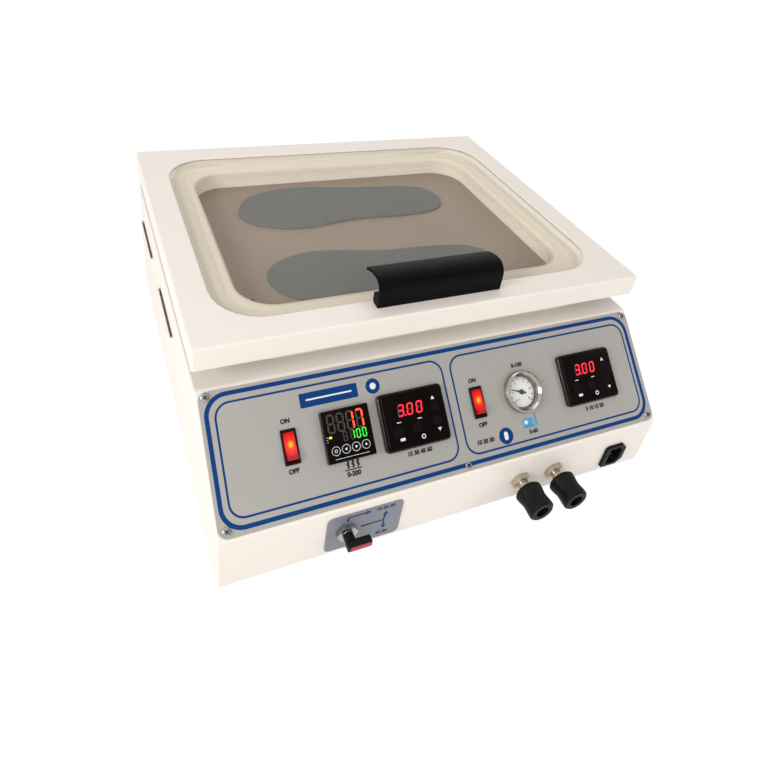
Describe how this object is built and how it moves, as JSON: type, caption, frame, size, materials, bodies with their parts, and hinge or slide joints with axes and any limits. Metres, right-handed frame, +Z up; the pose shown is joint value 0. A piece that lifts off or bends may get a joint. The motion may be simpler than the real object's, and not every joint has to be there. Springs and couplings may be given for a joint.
{
  "type": "insole heat press",
  "caption": "Tabletop press that heats insole blanks on a platen under a vacuum membrane held in a hinged lid, with a sloped control panel",
  "frame": {"origin": "middle of the footprint, on the surface that the feet stand on", "axes": "+X to the right of a user who faces the control panel, +Y from the panel towards the hinges, +Z up"},
  "size_m": [0.505, 0.5454, 0.238],
  "materials": {
    "white_paint": "satin powder coat",
    "zinc": "zinc plated sheet",
    "rubber": "moulded rubber",
    "aluminium": "milled aluminium",
    "ptfe": "coated glass cloth",
    "heater": "silicone heater mat",
    "insulation": "mineral board",
    "gasket": "silicone sponge",
    "insole": "dark grey foam",
    "plate": "printed matt plate",
    "black_plastic": "black moulding",
    "red_lens": "lit red lens",
    "chrome": "polished bezel",
    "dial": "printed dial",
    "glass": "clear lens",
    "nickel": "nickel plated brass",
    "hose": "silicone hose",
    "membrane": "translucent silicone sheet",
    "steel": "bright steel",
    "key": "soft keypad"
  },
  "bodies": {
    "cabinet": {"body_shell": "white_paint", "base_plate": "zinc", "foot_front_left": "rubber", "foot_front_right": "rubber", "foot_rear_left": "rubber", "foot_rear_right": "rubber", "well_surround": "white_paint", "platen": "aluminium", "ptfe_sheet": "ptfe", "heater_mat": "heater", "insulation_board": "insulation", "insulation_tray": "zinc", "rim_gasket": "gasket", "insole_front": "insole", "insole_rear": "insole", "control_plate": "plate", "temperature_controller": "black_plastic", "heat_timer": "black_plastic", "vacuum_timer": "black_plastic", "heat_switch_bezel": "black_plastic", "vacuum_switch_bezel": "black_plastic", "gauge_case": "chrome", "gauge_dial": "dial", "gauge_lens": "glass", "valve_plate": "plate", "valve_body": "nickel", "coupler_body_left": "nickel", "coupler_body_right": "nickel", "power_inlet": "black_plastic", "vacuum_pump": "zinc", "pump_hose": "hose", "well_hose": "hose", "hinge_body_leaf_left": "steel", "hinge_body_leaf_right": "steel", "hinge_pin_left": "steel", "hinge_pin_right": "steel"},
    "lid": {"lid_frame": "white_paint", "membrane": "membrane", "membrane_clamp": "zinc", "handle": "black_plastic", "hinge_lid_leaf_left": "steel", "hinge_lid_leaf_right": "steel"},
    "heat_rocker": {"heat_switch_rocker": "red_lens"},
    "vacuum_rocker": {"vacuum_switch_rocker": "red_lens"},
    "needle": {"gauge_needle": "black_plastic"},
    "lever": {"valve_lever": "black_plastic"},
    "sleeve_left": {"coupler_sleeve_left": "black_plastic"},
    "sleeve_right": {"coupler_sleeve_right": "black_plastic"},
    "controller_button_1": {"controller_key_1": "key"},
    "controller_button_2": {"controller_key_2": "key"},
    "controller_button_3": {"controller_key_3": "key"},
    "controller_button_4": {"controller_key_4": "key"},
    "heat_timer_button_up": {"heat_timer_key_up": "key"},
    "heat_timer_button_down": {"heat_timer_key_down": "key"},
    "heat_timer_button_set": {"heat_timer_key_set": "key"},
    "heat_timer_button_start": {"heat_timer_key_start": "key"},
    "vacuum_timer_button_up": {"vacuum_timer_key_up": "key"},
    "vacuum_timer_button_down": {"vacuum_timer_key_down": "key"},
    "vacuum_timer_button_set": {"vacuum_timer_key_set": "key"},
    "vacuum_timer_button_start": {"vacuum_timer_key_start": "key"}
  },
  "joints": [
    {"name": "lid_hinge", "type": "hinge", "parent": "cabinet", "child": "lid", "pos_m": [0, 0.26815, 0.17115], "axis": [-1, 0, 0], "range_deg": [0, 100], "deforming": ["membrane"]},
    {"name": "heat_rocker_pivot", "type": "hinge", "parent": "cabinet", "child": "heat_rocker", "pos_m": [-0.1726, -0.1819, 0.11615], "axis": [1, 0, 0], "range_deg": [0, 16]},
    {"name": "vacuum_rocker_pivot", "type": "hinge", "parent": "cabinet", "child": "vacuum_rocker", "pos_m": [0.027, -0.1819, 0.11615], "axis": [1, 0, 0], "range_deg": [0, 16]},
    {"name": "gauge_needle_spindle", "type": "hinge", "parent": "cabinet", "child": "needle", "pos_m": [0.082, -0.1823, 0.11659], "axis": [0, -0.6726, 0.74], "range_deg": [-205, 65], "stiffness_Nm_per_rad": 0.0001},
    {"name": "valve_spindle", "type": "hinge", "parent": "cabinet", "child": "lever", "pos_m": [-0.128, -0.23015, 0.0395], "axis": [0, -1, 0], "range_deg": [0, 90]},
    {"name": "coupler_release_left", "type": "slide", "parent": "cabinet", "child": "sleeve_left", "axis": [0, 1, 0], "range_m": [0, 0.004], "stiffness_N_per_m": 500},
    {"name": "coupler_release_right", "type": "slide", "parent": "cabinet", "child": "sleeve_right", "axis": [0, 1, 0], "range_m": [0, 0.004], "stiffness_N_per_m": 500},
    {"name": "controller_key_1_press", "type": "slide", "parent": "cabinet", "child": "controller_button_1", "axis": [0, 0.6726, -0.74], "range_m": [0, 0.0005], "stiffness_N_per_m": 300},
    {"name": "controller_key_2_press", "type": "slide", "parent": "cabinet", "child": "controller_button_2", "axis": [0, 0.6726, -0.74], "range_m": [0, 0.0005], "stiffness_N_per_m": 300},
    {"name": "controller_key_3_press", "type": "slide", "parent": "cabinet", "child": "controller_button_3", "axis": [0, 0.6726, -0.74], "range_m": [0, 0.0005], "stiffness_N_per_m": 300},
    {"name": "controller_key_4_press", "type": "slide", "parent": "cabinet", "child": "controller_button_4", "axis": [0, 0.6726, -0.74], "range_m": [0, 0.0005], "stiffness_N_per_m": 300},
    {"name": "heat_timer_up_press", "type": "slide", "parent": "cabinet", "child": "heat_timer_button_up", "axis": [0, 0.6726, -0.74], "range_m": [0, 0.0005], "stiffness_N_per_m": 300},
    {"name": "heat_timer_down_press", "type": "slide", "parent": "cabinet", "child": "heat_timer_button_down", "axis": [0, 0.6726, -0.74], "range_m": [0, 0.0005], "stiffness_N_per_m": 300},
    {"name": "heat_timer_set_press", "type": "slide", "parent": "cabinet", "child": "heat_timer_button_set", "axis": [0, 0.6726, -0.74], "range_m": [0, 0.0005], "stiffness_N_per_m": 300},
    {"name": "heat_timer_start_press", "type": "slide", "parent": "cabinet", "child": "heat_timer_button_start", "axis": [0, 0.6726, -0.74], "range_m": [0, 0.0005], "stiffness_N_per_m": 300},
    {"name": "vacuum_timer_up_press", "type": "slide", "parent": "cabinet", "child": "vacuum_timer_button_up", "axis": [0, 0.6726, -0.74], "range_m": [0, 0.0005], "stiffness_N_per_m": 300},
    {"name": "vacuum_timer_down_press", "type": "slide", "parent": "cabinet", "child": "vacuum_timer_button_down", "axis": [0, 0.6726, -0.74], "range_m": [0, 0.0005], "stiffness_N_per_m": 300},
    {"name": "vacuum_timer_set_press", "type": "slide", "parent": "cabinet", "child": "vacuum_timer_button_set", "axis": [0, 0.6726, -0.74], "range_m": [0, 0.0005], "stiffness_N_per_m": 300},
    {"name": "vacuum_timer_start_press", "type": "slide", "parent": "cabinet", "child": "vacuum_timer_button_start", "axis": [0, 0.6726, -0.74], "range_m": [0, 0.0005], "stiffness_N_per_m": 300}
  ]
}
